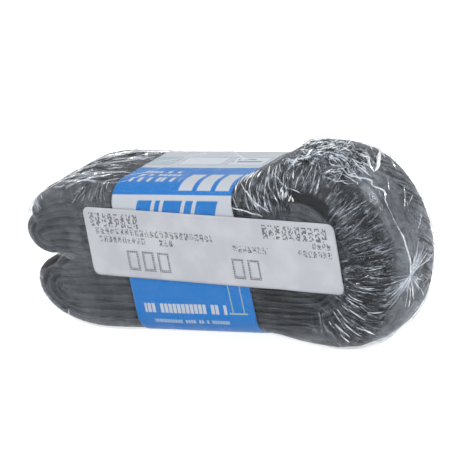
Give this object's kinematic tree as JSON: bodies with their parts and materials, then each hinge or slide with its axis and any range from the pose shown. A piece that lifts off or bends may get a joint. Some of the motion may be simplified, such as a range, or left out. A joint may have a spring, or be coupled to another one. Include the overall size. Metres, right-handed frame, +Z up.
{
  "type": "inner tube",
  "caption": "Bicycle inner tube folded flat round its valve, held by a paper band, sealed in clear shrink film and marked with a price label.",
  "frame": {"origin": "on the table, under the middle of the whole object's box", "axes": "+X along the bundle from the two-lobed end to the round end, -Y out of the face that carries the label, +Z up"},
  "size_m": [0.1462, 0.0406, 0.0672],
  "materials": {
    "tube_rubber": "smooth black butyl rubber with a soft sheen",
    "patch_rubber": "moulded black rubber, satin",
    "seal_rubber": "moulded black rubber, matt",
    "gasket_red": "red, smooth and slightly waxy",
    "stem_brass": "turned brass, bright",
    "core_brass": "turned brass, satin",
    "spring_steel": "bright drawn wire",
    "cap_plastic": "black moulded plastic",
    "band_paper": "coated paper printed blue and white",
    "clear_film": "clear glossy film, creased where it shrank",
    "label_paper": "pale label paper under a faint gloss"
  },
  "bodies": {
    "root": {"tube_body": "tube_rubber", "valve_patch": "patch_rubber", "valve_sheath": "patch_rubber", "valve_stem": "stem_brass", "core_plug": "core_brass", "core_barrel": "core_brass", "core_gasket": "gasket_red", "core_spring": "spring_steel", "paper_band": "band_paper", "shrink_film": "clear_film", "price_label": "label_paper"},
    "pin": {"core_pin": "core_brass", "core_cup": "core_brass", "cup_seal": "seal_rubber"},
    "cap_carrier": {"cap_seal": "seal_rubber"},
    "cap": {"valve_cap": "cap_plastic"}
  },
  "joints": [
    {"name": "pin_press", "type": "slide", "parent": "root", "child": "pin", "axis": [0.9962, 0, 0.0872], "range_m": [0, 0.0015], "stiffness_N_per_m": 200, "deforming": ["core_spring"]},
    {"name": "cap_slide", "type": "slide", "parent": "root", "child": "cap_carrier", "axis": [-0.9962, 0, -0.0872], "range_m": [0, 0.00635]},
    {"name": "cap_turn", "type": "hinge", "parent": "cap_carrier", "child": "cap", "pos_m": [0.00187, 0.0001, 0.02961], "axis": [-0.9962, 0, -0.0872], "range_deg": [0, 2880]}
  ],
  "couplings": [
    {"joint": "cap_turn", "follows": "cap_slide", "rad_per_m": 7913.3}
  ]
}
